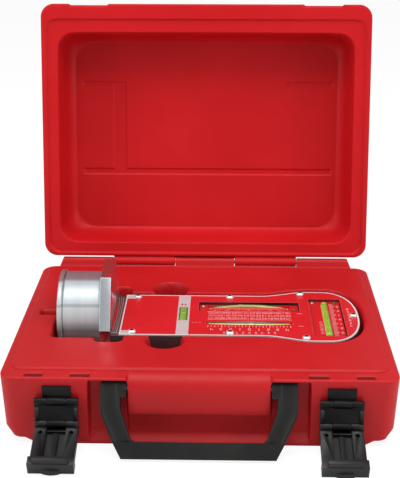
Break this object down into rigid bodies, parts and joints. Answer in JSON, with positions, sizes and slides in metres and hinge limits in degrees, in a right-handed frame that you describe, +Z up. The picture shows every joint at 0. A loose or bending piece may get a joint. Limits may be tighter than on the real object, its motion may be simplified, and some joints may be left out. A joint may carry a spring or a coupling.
{
  "type": "camber caster gauge",
  "caption": "Magnetic wheel alignment gauge with camber, caster and inclination vials, lying in its open red moulded carrying case with handle and latches.",
  "frame": {"origin": "centre of the case's underside, on the surface it stands on", "axes": "+X along the lid's hinge, to the right as seen from the front; +Y from the handle to the hinge; +Z up"},
  "size_m": [0.35, 0.43, 0.3423],
  "materials": {
    "case_red": "satin blow-moulded polyethylene",
    "black_plastic": "fine textured nylon",
    "cast_aluminium": "satin die casting",
    "machined_aluminium": "bright machined",
    "printed_label": "satin red print with bright edges",
    "red_carrier": "satin red",
    "vial": "clear acrylic with yellow-green fluid",
    "dark_plastic": "moulded",
    "steel": "zinc plated",
    "screw_steel": "nickel plated",
    "brass_knob": "machined",
    "magnet": "sintered magnet, plated"
  },
  "bodies": {
    "case_base": {"case_base_shell": "case_red", "case_base_tray": "case_red", "hinge_pin_left": "steel", "hinge_pin_right": "steel", "handle_pins": "steel", "latch_bracket_left": "black_plastic", "latch_bracket_right": "black_plastic", "latch_hinge_pin_left": "steel", "latch_hinge_pin_right": "steel"},
    "lid": {"case_lid_shell": "case_red", "case_lid_liner": "case_red"},
    "handle": {"carry_handle": "black_plastic"},
    "link_left": {"latch_link_left": "black_plastic", "latch_lever_pin_left": "steel"},
    "link_right": {"latch_link_right": "black_plastic", "latch_lever_pin_right": "steel"},
    "lever_left": {"latch_lever_left": "black_plastic"},
    "lever_right": {"latch_lever_right": "black_plastic"},
    "gauge": {"gauge_body": "cast_aluminium", "face_plate": "printed_label", "face_screws": "screw_steel", "back_cover": "cast_aluminium", "back_screws": "steel", "level_vial": "vial", "level_holder": "dark_plastic", "camber_vial": "vial", "camber_holder": "dark_plastic", "caster_pivot_pin": "steel", "kpi_pivot_pin": "steel", "hex_flange": "machined_aluminium", "flange_screws": "steel", "magnet_housing": "machined_aluminium", "end_ring": "machined_aluminium", "ring_magnet": "magnet", "pole_plate": "steel", "pin_guide": "machined_aluminium", "pin_spring": "steel"},
    "finder_pin": {"centring_pin": "screw_steel"},
    "caster_scale": {"caster_carrier": "red_carrier", "caster_vial": "vial", "caster_scale_screws": "screw_steel"},
    "caster_knob": {"caster_adjust_screw": "brass_knob"},
    "kpi_scale": {"kpi_carrier": "red_carrier", "kpi_vial": "vial", "kpi_scale_screw": "screw_steel"},
    "kpi_knob": {"kpi_adjust_screw": "brass_knob"}
  },
  "joints": [
    {"name": "lid_hinge", "type": "hinge", "parent": "case_base", "child": "lid", "pos_m": [0, 0.141, 0.07], "axis": [-1, 0, 0], "range_deg": [-100, 0]},
    {"name": "handle_swing", "type": "hinge", "parent": "case_base", "child": "handle", "pos_m": [0, -0.129, 0.055], "axis": [-1, 0, 0], "range_deg": [0, 65]},
    {"name": "latch_link_left_swing", "type": "hinge", "parent": "case_base", "child": "link_left", "pos_m": [-0.124, -0.139, 0.046], "axis": [1, 0, 0], "range_deg": [-80, 0]},
    {"name": "latch_link_right_swing", "type": "hinge", "parent": "case_base", "child": "link_right", "pos_m": [0.124, -0.139, 0.046], "axis": [1, 0, 0], "range_deg": [-80, 0]},
    {"name": "latch_lever_left_flip", "type": "hinge", "parent": "link_left", "child": "lever_left", "pos_m": [-0.124, -0.142, 0.026], "axis": [-1, 0, 0], "range_deg": [0, 110]},
    {"name": "latch_lever_right_flip", "type": "hinge", "parent": "link_right", "child": "lever_right", "pos_m": [0.124, -0.142, 0.026], "axis": [-1, 0, 0], "range_deg": [0, 110]},
    {"name": "gauge_lift", "type": "slide", "parent": "case_base", "child": "gauge", "axis": [0, 0, 1], "range_m": [0, 0.12]},
    {"name": "finder_pin_slide", "type": "slide", "parent": "gauge", "child": "finder_pin", "axis": [1, 0, 0], "range_m": [0, 0.006], "stiffness_N_per_m": 300, "springref_m": -0.005, "deforming": ["pin_spring"]},
    {"name": "caster_knob_turn", "type": "hinge", "parent": "gauge", "child": "caster_knob", "pos_m": [0.0905, 0.0215, 0.05], "axis": [0, 0, 1], "range_deg": [-720, 720]},
    {"name": "caster_scale_tilt", "type": "hinge", "parent": "gauge", "child": "caster_scale", "pos_m": [0.046, 0.025, 0.0565], "axis": [0, 1, 0], "range_deg": [-2.3, 2.3]},
    {"name": "kpi_knob_turn", "type": "hinge", "parent": "gauge", "child": "kpi_knob", "pos_m": [0.132, 0.0415, 0.05], "axis": [0, 0, 1], "range_deg": [-720, 720]},
    {"name": "kpi_scale_tilt", "type": "hinge", "parent": "gauge", "child": "kpi_scale", "pos_m": [0.121, 0.0015, 0.0565], "axis": [1, 0, 0], "range_deg": [-2.3, 2.3]}
  ],
  "couplings": [
    {"joint": "caster_scale_tilt", "follows": "caster_knob_turn", "ratio": 0.002861},
    {"joint": "kpi_scale_tilt", "follows": "kpi_knob_turn", "ratio": 0.003183}
  ]
}
